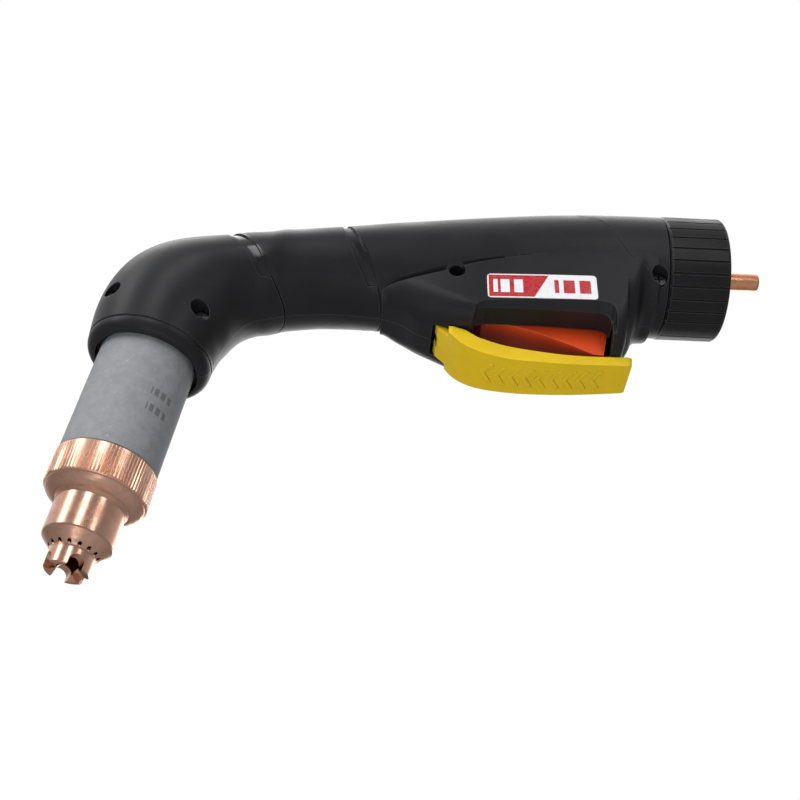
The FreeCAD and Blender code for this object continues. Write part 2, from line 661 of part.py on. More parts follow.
def shield():
    """Knurled grip ring, rounded shoulder, barrel, vented cone and notched nose."""
    body = turn([
        (12.65, 91.15), (KNURL_R - 0.35, 91.15), (KNURL_R - 0.1, 91.4),
        (KNURL_R - KNURL_DEPTH, 101.9), (15.8, 102.7), (15.15, 103.5), (14.3, 104.2),
        (13.3, 104.85), (12.4, 105.3), (12.1, 105.2), (11.85, 105.3), (11.65, 105.7),
        (11.35, 106.15), (BARREL_R, 106.6), (BARREL_R, 118.2), (BARREL_R - 0.15, 118.7),
        (9.7, 120.0), (8.35, 121.3), (7.5, 122.05), (7.1, 122.6), (NOSE_R, 123.3),
        (NOSE_R, SHIELD_END - 0.35), (NOSE_R - 0.3, SHIELD_END), (5.3, SHIELD_END),
        (3.7, 127.5), (3.7, 121.2), (8.6, 116.0), (9.6, 112.0), (9.6, 99.6), (12.65, 99.6)])
    body = body.fuse(knurled_ring())
    vents = [spin(rod_z(VENT_R, 5.2, 7.55, 117.4), 360.0 / VENT_COUNT * k + 90.3)
             for k in range(VENT_COUNT)]
    body = body.cut(Part.makeCompound(vents))
    for k in range(4):
        notch = rod_x(NOTCH_R, 8.0, 2.0, z=NOTCH_Z).fuse(
            box(2.0, 10.0, -NOTCH_R, NOTCH_R, NOTCH_Z, 130.0))
        # the first notch is 33 degrees from the world -Y side towards the handle
        body = body.cut(spin(notch, 90.0 - 33.0 + 90.0 * k))
    return to_head(body.removeSplitter())


export("shield", shield())

# ------------------------------------------------------------------ nut, snap ring, gland
NUT_R = 21.9
NUT_LENGTH = 21.1
NUT_RIBS = 30
NUT_GROOVE_DEPTH = 0.65
NUT_GROOVE_ANGLE = 1.05             # half angle of a groove, degrees


def nut_point(degrees, radius):
    angle = math.radians(degrees)
    return Vector(-NUT_LENGTH, radius * math.cos(angle), radius * math.sin(angle))


def ribbed_blank():
    edges = []
    step = 360.0 / NUT_RIBS
    floor = NUT_R - NUT_GROOVE_DEPTH
    for k in range(NUT_RIBS):
        angle = step * k
        start = nut_point(angle + NUT_GROOVE_ANGLE, NUT_R)
        end = nut_point(angle + step - NUT_GROOVE_ANGLE, NUT_R)
        crown = nut_point(angle + step / 2, NUT_R - 0.02)
        edges.append(Part.makeLine(nut_point(angle, floor), start))
        edges.append(Part.Arc(start, crown, end).toShape())
        edges.append(Part.makeLine(end, nut_point(angle + step, floor)))
    return Part.Face(Part.Wire(edges)).extrude(Vector(NUT_LENGTH, 0, 0))


def coupling_nut():
    # turned envelope that bevels both ends of the ribs
    nut = ribbed_blank().common(turn_x([
        (-NUT_LENGTH, 0), (-NUT_LENGTH, NUT_R - 0.75), (-NUT_LENGTH + 0.7, NUT_R - 0.1),
        (-NUT_LENGTH + 0.9, NUT_R + 0.3), (-1.4, NUT_R + 0.3), (-1.1, NUT_R - 0.05),
        (-0.5, NUT_R - 0.4), (-0.15, NUT_R - 0.8), (0, NUT_R - 1.3), (0, 0)]))
    nut = nut.cut(rod_x(SPIGOT_R + 0.06, NUT_LENGTH - 4.3, -NUT_LENGTH))
    nut = nut.cut(rod_x(14.6, 6, -5))
    return nut.cut(ring_x(-7.3, -6.1, 17.0, 18.2)).removeSplitter()


def lead_gland():
    """Plug in the collar bore round the lead tube, with three holes for wires."""
    inner = LEAD_INNER_R + 0.03
    gland = turn_x([(-22.4, inner), (-22.4, 13.95), (-18.6, 13.95), (-17.6, 12.8),
                    (-17.6, 6.0), (-15.6, 4.6), (-15.6, inner)])
    for y, z, radius in ((8.4, 5.4, 1.15), (1.6, -8.4, 0.8), (-1.6, -8.4, 0.8)):
        gland = gland.cut(rod_x(radius, 14, -27, y, z))
    return gland


export("coupling_nut", coupling_nut())
export("nut_snap_ring",
       ring_x(-7.15, -6.25, 16.45, 18.05).cut(box(-8, -5, -2.0, 2.0, 10, 20)))
export("lead_gland", lead_gland())


# ------------------------------------------------------------------ pins and trigger
def pin(centre):
    """Cross pin with bevelled ends, centred on y = 0."""
    bevel = 0.25
    body = turn([(0, 0), (PIN_R - bevel, 0), (PIN_R, bevel), (PIN_R, PIN_LENGTH - bevel),
                 (PIN_R - bevel, PIN_LENGTH), (0, PIN_LENGTH)])
    body.rotate(ORIGIN, X_AXIS, -90)
    body.translate(Vector(centre[0], -PIN_LENGTH / 2, centre[1]))
    return body


# x, z
FINGER_WEDGE = [
    (-85.6, -29.2), (-60.0, -29.85), (-44.2, -30.6), (-43.1, -32.6), (-45.1, -42.2),
    (-48.6, -42.0), (-54.4, -38.95), (-62.7, -35.35), (-69.4, -32.75), (-79.4, -30.0),
    (-84.8, -29.55)]
TRIGGER_TOP = [
    (-88.4, -26.0), (-86.4, -21.2), (-83.0, -21.6), (-76.6, -22.4), (-76.2, -19.74),
    (-71.8, -19.74), (-71.2, -22.6), (-52.0, -23.9), (-45.8, -24.2), (-45.0, -25.0),
    (-44.2, -31.0), (-85.6, -29.6)]


def trigger():
    half = 15.4 / 2                 # finger wedge
    top_half = 5.2                  # part inside the handle
    body = prism(FINGER_WEDGE, -half, half).fuse(prism(TRIGGER_TOP, -top_half, top_half))
    body = body.fuse(rod_y(3.1, 2 * top_half, TRIGGER_PIN, -top_half))
    body = body.cut(rod_y(PIN_HOLE_R, 30, TRIGGER_PIN, -15))
    for x0, x1 in ((-82.0, -79.2), (-69.0, -54.0)):
        body = body.cut(box(x0, x1, -3.6, 3.6, -28.0, -20.0))
    body = body.cut(rod_z(2.9, 4.0, SPRING_X, -26.4)).removeSplitter()
    # guards the rounding of the wedge's lower side edges: they stay sharp if it fails
    try:
        edges = [edge for edge in body.Edges
                 if abs(abs(edge.CenterOfMass.y) - half) < 0.01
                 and edge.CenterOfMass.z < -30.2 and edge.CenterOfMass.x < -44.0
                 and edge.Length > 3.5]
        rounded = body.makeFillet(0.7, edges)
        if rounded.isValid() and len(rounded.Solids) == 1:
            body = rounded
    except Exception as error:
        print("trigger edges left sharp", error)
    return body


export("trigger_pin", pin(TRIGGER_PIN))
export("lever_pin", pin(LEVER_PIN))
export("trigger", trigger())
trigger_spring = coil(radius=2.3, wire_d=0.6, turns=6, z0=-26.3, z1=-14.7)
trigger_spring.translate(Vector(SPRING_X, 0, 0))
export("trigger_spring", trigger_spring)

# ------------------------------------------------------------------ switch and wires
BUTTON_X = -74.0
BUTTON_R = 1.22


def microswitch_body():
    body = fillet_along_y(box(-79.0, -59.0, -3.2, 3.2, -18.0, -8.0), 0.5)
    for centre in SWITCH_PEGS:
        body = body.cut(rod_y(1.2, 10, centre, -5))
    body = body.cut(rod_z(1.3, 4.2, BUTTON_X, -18.1))
    body = body.cut(box(-80, -58, -3.3, -2.9, -13.4, -13.1))       # line along the -Y face
    for z in (-15.6, -12.2):
        terminal = box(-59.2, -56.2, -1.6, 1.6, z - 0.35, z + 0.35)
        body = body.fuse(terminal.cut(rod_z(0.55, 2, -57.2, z - 1)))
    return body.removeSplitter()


def switch_button():
    tip = Part.makeCone(0.8, BUTTON_R, 0.3, Vector(BUTTON_X, 0, -19.6), Z_AXIS)
    return merge(rod_z(BUTTON_R, 3.6, BUTTON_X, -19.3), tip).Solids[0]


# x, y, z; the +Y lead's rear run is mirrored for the other one
LEAD_TAIL = [(-40.0, 1.7, -8.6), (-34.0, 1.6, -8.4), (-28.0, 1.6, -8.4),
             (-25.0, 1.6, -8.4), (-22.0, 1.6, -8.4), (-17.0, 1.6, -8.4)]
SWITCH_LEADS = [
    [(-56.0, -1.2, -12.2), (-52.5, -1.6, -11.0), (-46.0, -1.9, -9.2)]
    + [(x, -y, z) for x, y, z in LEAD_TAIL],
    [(-56.0, 1.2, -15.6), (-54.8, 1.5, -15.0), (-53.9, 1.8, -13.5), (-53.4, 2.0, -11.6),
     (-51.5, 2.0, -10.2), (-47.0, 1.9, -9.2)] + LEAD_TAIL]
PILOT_LEAD = [
    (-178.0, 6.0, -13.9), (-170.0, 7.5, -8.0), (-150.0, 8.4, -1.0), (-120.0, 8.4, 4.6),
    (-80.0, 8.4, 5.4), (-50.0, 8.4, 5.4), (-35.0, 8.4, 5.4), (-28.0, 8.4, 5.4),
    (-22.0, 8.4, 5.4), (-17.0, 8.4, 5.4)]

export("microswitch_body", microswitch_body())
export("switch_button", switch_button())
export("switch_leads", Part.makeCompound([cable(points, 0.7) for points in SWITCH_LEADS]))
export("pilot_lead", cable(PILOT_LEAD, 1.05))

# ------------------------------------------------------------------ safety lever
# Blade side view: upper face front to rear, lower face rear to front: x, z
BLADE_UPPER = [
    (-97.2, -34.3), (-94.5, -34.95), (-92.0, -35.7), (-90.2, -36.8), (-88.3, -38.1),
    (-85.1, -39.4), (-81.8, -40.4), (-73.5, -42.05), (-65.1, -43.0), (-60.0, -43.4),
    (-53.3, -43.5), (-46.5, -43.25), (-39.0, -42.75), (-35.4, -42.5)]
BLADE_LOWER = [
    (-35.9, -46.1), (-40.0, -46.35), (-45.0, -46.7), (-50.0, -46.95), (-55.0, -47.15),
    (-60.0, -47.2), (-65.0, -47.15), (-70.0, -47.05), (-75.0, -46.75), (-80.0, -46.15),
    (-84.0, -45.35), (-88.0, -44.1), (-91.0, -42.7), (-94.0, -40.6), (-96.0, -38.4),
    (-97.2, -36.9)]
# Blade seen from below: x, half width
BLADE_PLAN = [
    (-97.2, 10.0), (-96.6, 10.3), (-94.0, 10.35), (-91.0, 10.3), (-88.0, 10.15),
    (-84.0, 9.9), (-80.0, 9.6), (-75.0, 9.4), (-65.0, 9.1), (-55.0, 8.65), (-45.0, 8.15),
    (-37.0, 7.7), (-34.9, 7.6)]
# Neck from the blade up to the pin: x, z
NECK = [
    (-96.9, -37.2), (-98.2, -35.9), (-99.9, -34.1), (-100.7, -33.2), (-100.9, -32.4),
    (-99.6, -28.6), (-96.4, -29.6), (-95.6, -32.2), (-95.4, -35.2), (-95.6, -37.6)]
# One chevron bar: x from its start, y
CHEVRON = [(0, 0), (2.6, -4.6), (4.2, -4.6), (1.6, 0), (4.2, 4.6), (2.6, 4.6)]
CHEVRON_PITCH = 4.6
CHEVRON_RAISE = 0.4
KNUCKLE_WIDTH = 15.2


def blade_prism(upper, lower, half):
    """Prism from y = -half to half between two smooth (x, z) curves."""
    top = [Vector(x, -half, z) for x, z in upper]
    bottom = [Vector(x, -half, z) for x, z in lower]
    outline = Part.Wire([spline_edge(top), Part.makeLine(top[-1], bottom[0]),
                         spline_edge(bottom), Part.makeLine(bottom[-1], top[0])])
    return Part.Face(outline).extrude(Vector(0, 2 * half, 0))


def blade_plan():
    """Vertical prism of the blade's plan, rounded at its rear corners."""
    left, right = [[Vector(x, side * y, -60) for x, y in BLADE_PLAN] for side in (1, -1)]
    outline = Part.Wire([spline_edge(left), Part.makeLine(left[-1], right[-1]),
                         spline_edge(right), Part.makeLine(right[0], left[0])])
    plan = Part.Face(outline).extrude(Vector(0, 0, 40))
    return plan.makeFillet(2.6, [edge for edge in plan.Edges
                                 if abs(edge.Vertexes[0].Z - edge.Vertexes[1].Z) > 5
                                 and edge.CenterOfMass.x > -50])


def safety_lever():
    half = KNUCKLE_WIDTH / 2
    lever = blade_prism(BLADE_UPPER, BLADE_LOWER, 12).common(blade_plan())
    lever = lever.fuse(prism(NECK, -half, half))
    lever = lever.fuse(rod_y(2.65, KNUCKLE_WIDTH, LEVER_PIN, -half))
    lever = lever.cut(rod_y(PIN_HOLE_R, 30, LEVER_PIN, -15))
    lever = lever.cut(rod_y(3.1, 5.2, LEVER_PIN, -2.6))        # room for the spring
    # raised chevrons on the lower face
    raised = [(x, z - CHEVRON_RAISE) for x, z in BLADE_LOWER]
    thick = blade_prism(BLADE_UPPER, raised, half)
    bars = []
    for k in range(9):
        x0 = -86.0 + CHEVRON_PITCH * k
        bar = polygon_face([Vector(x0 + x, y, -60) for x, y in CHEVRON])
        bars.append(bar.extrude(Vector(0, 0, 24)))
    pattern = thick.cut(lever).common(Part.makeCompound(bars))
    pattern = pattern.common(box(-90, -40, -half, half, -60, -37.0))
    return biggest(lever.fuse(pattern).removeSplitter())


def lever_spring():
    """Coil round the lever pin, between the knuckles."""
    height = 3.4
    spring = helix_wire(radius=2.05, wire_r=0.3, pitch=0.85, height=height, z0=0, slope=0.066)
    spring.translate(Vector(0, 0, -height / 2))
    spring.rotate(ORIGIN, X_AXIS, -90)
    spring.translate(Vector(LEVER_PIN[0], 0, LEVER_PIN[1]))
    return spring


export("safety_lever", safety_lever())
export("lever_spring", lever_spring())
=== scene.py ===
"""Cutting torch: materials, stage, camera and lights for its CAD pieces.

The handle lies along X. The head meets it near its -X end and points down (-Z), leaning
towards -X. The camera looks from the -Y side. The frame is in metres; textures work in mm.
"""
import math
import bpy
from mathutils import Matrix, Vector


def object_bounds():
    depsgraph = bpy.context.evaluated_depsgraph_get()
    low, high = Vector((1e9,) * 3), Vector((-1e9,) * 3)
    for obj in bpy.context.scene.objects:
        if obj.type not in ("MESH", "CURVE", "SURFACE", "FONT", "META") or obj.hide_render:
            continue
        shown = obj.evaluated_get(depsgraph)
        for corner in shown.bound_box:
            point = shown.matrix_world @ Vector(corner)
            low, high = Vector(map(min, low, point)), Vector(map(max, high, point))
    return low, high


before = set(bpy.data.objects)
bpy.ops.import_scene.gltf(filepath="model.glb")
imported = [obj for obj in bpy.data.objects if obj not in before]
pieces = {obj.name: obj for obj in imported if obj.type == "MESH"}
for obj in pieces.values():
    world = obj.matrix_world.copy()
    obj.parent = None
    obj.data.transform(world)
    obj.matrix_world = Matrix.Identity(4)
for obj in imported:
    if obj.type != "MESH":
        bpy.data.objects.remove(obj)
low_corner, high_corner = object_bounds()
centre = (low_corner + high_corner) / 2
scene = bpy.context.scene

# The head axis: where it meets the handle, its direction to the nozzle, and across it in XZ
LEAN = math.radians(10.6)
HEAD = Vector((-0.188, 0.0, 0.0))
AXIS = Vector((-math.sin(LEAN), 0.0, -math.cos(LEAN)))
ACROSS = Vector((math.cos(LEAN), 0.0, -math.sin(LEAN)))
TIP = HEAD + AXIS * 0.108
MM_PER_M = 1000.0

FLOOR_GAP = 0.0015            # floor below the lowest point
FLOOR_HALF = 6.0              # half the floor's side

# Camera axes and place
RIGHT = Vector((0.99829787, -0.05784648, 0.00742673))
UP = Vector((-0.03999419, -0.58633258, 0.80908255))
BACK = Vector((-0.04244804, -0.80800241, -0.58764809))
CAMERA_PLACE = (-0.13146432, -0.35550971, -0.31692141)


# ------------------------------------------------------------------ node helpers
def feed(tree, value, socket):
    """Set a socket to a constant, or link it to another node's output."""
    if isinstance(value, (int, float, tuple)):
        socket.default_value = value
    else:
        tree.links.new(value, socket)


def add_node(tree, kind, inputs=None, **settings):
    """Add a shader node; inputs maps socket names or indices to values."""
    node = tree.nodes.new("ShaderNode" + kind)
    for key, value in settings.items():
        setattr(node, key, value)
    for key, value in (inputs or {}).items():
        feed(tree, value, node.inputs[key])
    return node


def srgb(red, green, blue):
    """Linear RGBA from 0-255 sRGB values."""
    def linear(level):
        if level <= 10.31:
            return level / 255 / 12.92
        return ((level / 255 + 0.055) / 1.055) ** 2.4
    return (linear(red), linear(green), linear(blue), 1.0)


def scaled(color, factor):
    return tuple(level * factor for level in color[:3]) + (1.0,)


class Surface:
    """A Principled material textured by object position in millimetres."""

    def __init__(self, name):
        self.material = bpy.data.materials.new(name)
        self.material.use_nodes = True
        self.tree = self.material.node_tree
        self.tree.nodes.clear()
        self.output = self.add("OutputMaterial")
        self.shader = self.add("BsdfPrincipled")
        feed(self.tree, self.shader.outputs["BSDF"], self.output.inputs["Surface"])
        coords = self.add("TexCoord")
        self.place = self.add("VectorMath", {0: coords.outputs["Object"], "Scale": MM_PER_M},
                              operation="SCALE").outputs[0]

    def add(self, kind, inputs=None, **settings):
        return add_node(self.tree, kind, inputs, **settings)

    # arithmetic
    def math(self, operation, *operands):
        return self.add("Math", dict(enumerate(operands)), operation=operation).outputs[0]

    def times(self, a, b):
        return self.math("MULTIPLY", a, b)

    def plus(self, a, b):
        return self.math("ADD", a, b)

    def minus(self, a, b):
        return self.math("SUBTRACT", a, b)

    def union(self, masks):
        """The largest of several masks."""
        result = masks[0]
        for mask in masks[1:]:
            result = self.math("MAXIMUM", result, mask)
        return result

    def dot(self, vector, direction):
        return self.add("VectorMath", {0: vector, 1: direction},
                        operation="DOT_PRODUCT").outputs["Value"]

    def along(self, direction):
        """Distance along a direction, in millimetres."""
        return self.dot(self.place, tuple(direction))

    # masks
    def ramp(self, value, span, to=(0.0, 1.0)):
        """Smooth map of value over span to the range to."""
        return self.add("MapRange", {
            "Value": value, "From Min": span[0], "From Max": span[1],
            "To Min": to[0], "To Max": to[1],
        }, interpolation_type="SMOOTHSTEP").outputs["Result"]

    def band(self, value, rise, fall):
        """1 between rise and fall, with smooth flanks over each pair."""
        return self.times(self.ramp(value, span=rise), self.ramp(value, span=(fall[1], fall[0])))

    def between(self, value, low, high, soft):
        """A band whose flanks reach soft to either side of low and high."""
        return self.band(value, rise=(low - soft, low + soft), fall=(high - soft, high + soft))

    def edge(self, radius):
        """1 on sharp edges, 0 on flats."""
        bevel = self.add("Bevel", {"Radius": radius}, samples=4)
        geometry = self.add("NewGeometry")
        agreement = self.dot(bevel.outputs[0], geometry.outputs["Normal"])
        return self.ramp(agreement, span=(0.995, 0.86))

    # textures
    def mapped(self, scale, rotation=(0, 0, 0)):
        return self.add("Mapping", {
            "Vector": self.place, "Scale": scale, "Rotation": rotation}).outputs[0]

    def noise(self, scale, detail=4.0, rough=0.55, vector=None, distortion=0.0):
        return self.add("TexNoise", {
            "Vector": self.place if vector is None else vector, "Scale": scale,
            "Detail": detail, "Roughness": rough, "Distortion": distortion}).outputs["Fac"]

    def scratches(self, scale, stretch, rotation, span):
        vector = self.mapped(stretch, rotation)
        return self.ramp(self.noise(scale, detail=3.0, rough=0.5, vector=vector), span=span)

    # colour and relief
    def mix(self, factor, a, b):
        return self.add("Mix", {0: factor, 6: a, 7: b}, data_type="RGBA").outputs[2]

    def mix_value(self, factor, a, b):
        return self.add("Mix", {0: factor, 2: a, 3: b}, data_type="FLOAT").outputs[0]

    def tint(self, color, over, mask, amount):
        """Lay one colour over another where the mask is 1."""
        return self.mix(self.times(mask, amount), color, over)

    def crevice_shade_and_grime(self, color, over, reach, span, amount):
        """Lay a darker colour into crevices, found by occlusion within reach metres: painted
        shade where they fall into shadow, and on copper also tarnish in its hollows.
        """
        occlusion = self.add("AmbientOcclusion", {"Distance": reach}, samples=6).outputs["AO"]
        return self.mix(self.ramp(occlusion, span=span, to=(0.0, amount)), color, over)

    def bump(self, height, strength, distance, rounded=0.0):
        """Relief, on edges softened to the radius rounded where that is given."""
        node = self.add("Bump", {"Strength": strength, "Distance": distance, "Height": height})
        if rounded:
            bevel = self.add("Bevel", {"Radius": rounded}, samples=6)
            feed(self.tree, bevel.outputs[0], node.inputs["Normal"])
        return node.outputs[0]

    def finish(self, color, roughness, normal, metallic=0.0, **extra):
        """Feed the Principled shader; extra names its sockets with _ for spaces."""
        inputs = {"Base Color": color, "Roughness": roughness, "Metallic": metallic,
                  "Normal": normal, **extra}
        for key, value in inputs.items():
            feed(self.tree, value, self.shader.inputs[key.replace("_", " ")])
        return self.material


# ------------------------------------------------------------------ materials
def neck_gloss(s):
    """Mask of the two recessed, polished bands round the neck."""
    x, z = s.along((1, 0, 0)), s.along((0, 0, 1))
    z_capped = s.math("MINIMUM", z, 8.0)
    bands = []
    # each band's line in side view (slope, x at z = 0), and its -X flank measured from it
    for slope, start, rise in ((-0.76, -171.0, (-3.9, -3.4)), (-0.48, -130.4, (-3.2, -2.7))):
        line = s.plus(s.times(z_capped, slope), start)
        bands.append(s.band(s.minus(x, line), rise=rise, fall=(0.2, 0.6)))
    return s.times(s.union(bands), s.band(z, rise=(-21.5, -20.5), fall=(-6.0, -1.0)))


def black_plastic(name, base, rough, grain=5.5, bump=0.10, rounded=0.0003, glossy=False):
    """Moulded black plastic with scuffs, edges lightened as rubbed wear and a painted highlight,
    and painted shade in its crevices.
    """
    s = Surface(name)
    cloud = s.noise(scale=0.05)
    fine = s.noise(scale=grain, detail=2, rough=0.5)
    scuff = s.scratches(scale=0.55, stretch=(1.0, 9.0, 9.0), rotation=(0.3, 0.5, 0.9),
                        span=(0.66, 0.74))
    color = s.mix(s.ramp(cloud, span=(0.3, 0.7)), base, scaled(base, 1.35))
    # lighter edges: partly rubbed wear, partly a painted highlight where edges catch the light
    color = s.tint(color, srgb(78, 78, 82), s.edge(radius=0.0005), amount=0.5)
    color = s.tint(color, srgb(70, 70, 74), scuff, amount=0.25)
    # crevices darkened by occlusion: painted shade
    color = s.crevice_shade_and_grime(color, srgb(16, 16, 17), reach=0.004, span=(0.75, 0.3), amount=0.35)
    roughness = s.plus(s.ramp(cloud, span=(0.3, 0.7), to=(rough - 0.04, rough + 0.05)),
                       s.times(fine, 0.06))
    specular = 0.3
    if glossy:
        gloss = neck_gloss(s)
        roughness = s.mix_value(gloss, roughness, 0.13)
        color = s.tint(color, srgb(12, 12, 13), gloss, amount=0.7)
        specular = s.mix_value(gloss, specular, 0.6)
    cells = s.add("TexVoronoi", {"Vector": s.place, "Scale": grain * 0.6}).outputs["Distance"]
    height = s.plus(s.times(fine, 1.0), s.times(cells, 0.5))
    normal = s.bump(height, strength=bump, distance=0.0001, rounded=rounded)
    return s.finish(color, roughness, normal, IOR=1.48, Specular_IOR_Level=specular)


def turned_copper(name, base, dark, rough):
    """Machined copper: turning lines round the head axis, patchy tarnish, bright edges (rubbed
    wear with a painted highlight), and painted shade with tarnish in its hollows.
    """
    s = Surface(name)
    axis_only = s.add("CombineXYZ", {0: s.times(s.along(AXIS), 1.0)}).outputs[0]
    turning = s.noise(scale=7.0, detail=4, rough=0.65, vector=axis_only)
    patch = s.noise(scale=0.22, detail=5, rough=0.6, distortion=0.6)
    color = s.mix(s.ramp(patch, span=(0.38, 0.75), to=(0.0, 0.35)), base, dark)
    # near-white edges: a painted highlight along the edges, with rubbed wear
    color = s.tint(color, srgb(255, 218, 196), s.edge(radius=0.00018), amount=0.6)
    # hollows darkened by occlusion: painted shade, with tarnish
    color = s.crevice_shade_and_grime(color, srgb(96, 50, 34), reach=0.003, span=(0.7, 0.2), amount=0.75)
    roughness = s.plus(s.ramp(patch, span=(0.35, 0.8), to=(rough - 0.04, rough + 0.10)),
                       s.times(s.noise(scale=2.2, detail=3), 0.05))
    normal = s.bump(turning, strength=0.22, distance=0.00006, rounded=0.00008)
    return s.finish(color, roughness, normal, metallic=1.0, Anisotropic=0.3)


def metal(name, base, dark, rough=0.3, scale=1.2, bump=0.15, tarnish=0.4, rounded=0.0001):
    """Plain metal with patchy tarnish and a fine drawn grain."""
    s = Surface(name)
    patch = s.noise(scale=0.4, detail=5, rough=0.6)
    grain = s.noise(scale=scale, detail=4, rough=0.6, vector=s.mapped(scale=(1, 6, 6)))
    color = s.mix(s.ramp(patch, span=(0.35, 0.75), to=(0.0, tarnish)), base, dark)
    # crevices darkened by occlusion: painted shade
    color = s.crevice_shade_and_grime(color, scaled(dark, 0.25), reach=0.0015, span=(0.6, 0.15), amount=0.6)
    roughness = s.ramp(patch, span=(0.3, 0.8), to=(rough - 0.05, rough + 0.1))
    normal = s.bump(grain, strength=bump, distance=0.00008, rounded=rounded)
    return s.finish(color, roughness, normal, metallic=1.0)


def plastic(name, base, dark, rough, bump=0.08, subsurface=0.0, rounded=0.0004, edge_wear_and_highlight=None,
            grain=3.2, reach=0.004, crevice_shade_and_grime=0.5):
    """Coloured plastic; the edge colour argument lightens its edges as rubbed wear and a painted
    highlight, and crevices are darkened as painted shade.
    """
    s = Surface(name)
    cloud = s.noise(scale=0.09)
    fine = s.noise(scale=grain, detail=3, rough=0.5)
    scuff = s.scratches(scale=0.7, stretch=(1.0, 7.0, 7.0), rotation=(0.2, 0.9, 0.4),
                        span=(0.66, 0.73))
    color = s.mix(s.ramp(cloud, span=(0.3, 0.75), to=(0.0, 0.35)), base, dark)
    if edge_wear_and_highlight is not None:
        # lighter edges: rubbed wear and a painted highlight
        color = s.tint(color, edge_wear_and_highlight, s.edge(radius=0.0006), amount=0.6)
    color = s.tint(color, dark, scuff, amount=0.18)
    # crevices darkened by occlusion: painted shade
    color = s.crevice_shade_and_grime(color, scaled(dark, 0.35), reach=reach, span=(0.8, 0.2), amount=crevice_shade_and_grime)
    roughness = s.plus(s.ramp(cloud, span=(0.3, 0.7), to=(rough - 0.04, rough + 0.05)),
                       s.times(fine, 0.05))
    normal = s.bump(fine, strength=bump, distance=0.0001, rounded=rounded)
    return s.finish(color, roughness, normal, IOR=1.47, Subsurface_Weight=subsurface,
                    Subsurface_Scale=0.001, Specular_IOR_Level=0.35)


def printed_dashes(s, down):
    """Mask of two rows of dashes on the -Y side; down runs along the head axis."""
    row_height, soft = 2.6, 0.2
    dashes_per_mm = 0.55
    across = s.minus(s.along(ACROSS), HEAD.dot(ACROSS) * 1000)
    down = s.minus(down, HEAD.dot(AXIS) * 1000)
    near_side = s.ramp(s.along((0, 1, 0)), span=(0.0, -1.0))
    rows = []
    for top in (66.2, 72.2):
        end = top + row_height
        row = s.band(down, rise=(top - soft, top), fall=(end - soft, end))
        phase = s.math("FRACT", s.times(across, dashes_per_mm))
        dashes = s.ramp(phase, span=(0.30, 0.42))
        width = s.band(across, rise=(8.6, 8.8), fall=(14.0, 14.3))
        rows.append(s.times(s.times(row, dashes), s.times(width, near_side)))
    return s.union(rows)


def cap_grey():
    """Matte grey sleeve with cloudy mottling, pale scratches and printed dashes."""
    s = Surface("cap_grey")
    down = s.along(AXIS)
    cloud = s.noise(scale=0.30, detail=6, rough=0.66, distortion=0.3)
    speck = s.noise(scale=2.6, detail=3, rough=0.7)
    scratches = s.union([
        s.scratches(scale=0.42, stretch=(1.0, 8.0, 1.2), rotation=(0.1, 0.5, 0.3),
                    span=(0.68, 0.76)),
        s.scratches(scale=0.9, stretch=(7.0, 1.0, 1.5), rotation=(0.9, 0.2, 0.6),
                    span=(0.72, 0.78))])
    color = s.mix(s.ramp(cloud, span=(0.3, 0.7)), srgb(124, 125, 128), srgb(138, 140, 143))
    color = s.mix(s.ramp(speck, span=(0.55, 0.75), to=(0.0, 0.2)), color, srgb(108, 110, 113))
    color = s.tint(color, srgb(186, 189, 194), scratches, amount=0.4)
    # lighter edges: a painted highlight, with rubbed wear
    color = s.tint(color, srgb(170, 172, 176), s.edge(radius=0.0005), amount=0.5)
    color = s.tint(color, srgb(70, 70, 74), printed_dashes(s, down), amount=0.62)
    roughness = s.plus(s.ramp(cloud, span=(0.3, 0.7), to=(0.58, 0.72)), s.times(speck, 0.08))
    normal = s.bump(s.plus(speck, s.times(cloud, 0.6)),
                    strength=0.18, distance=0.00012, rounded=0.0003)
    return s.finish(color, roughness, normal, IOR=1.45)


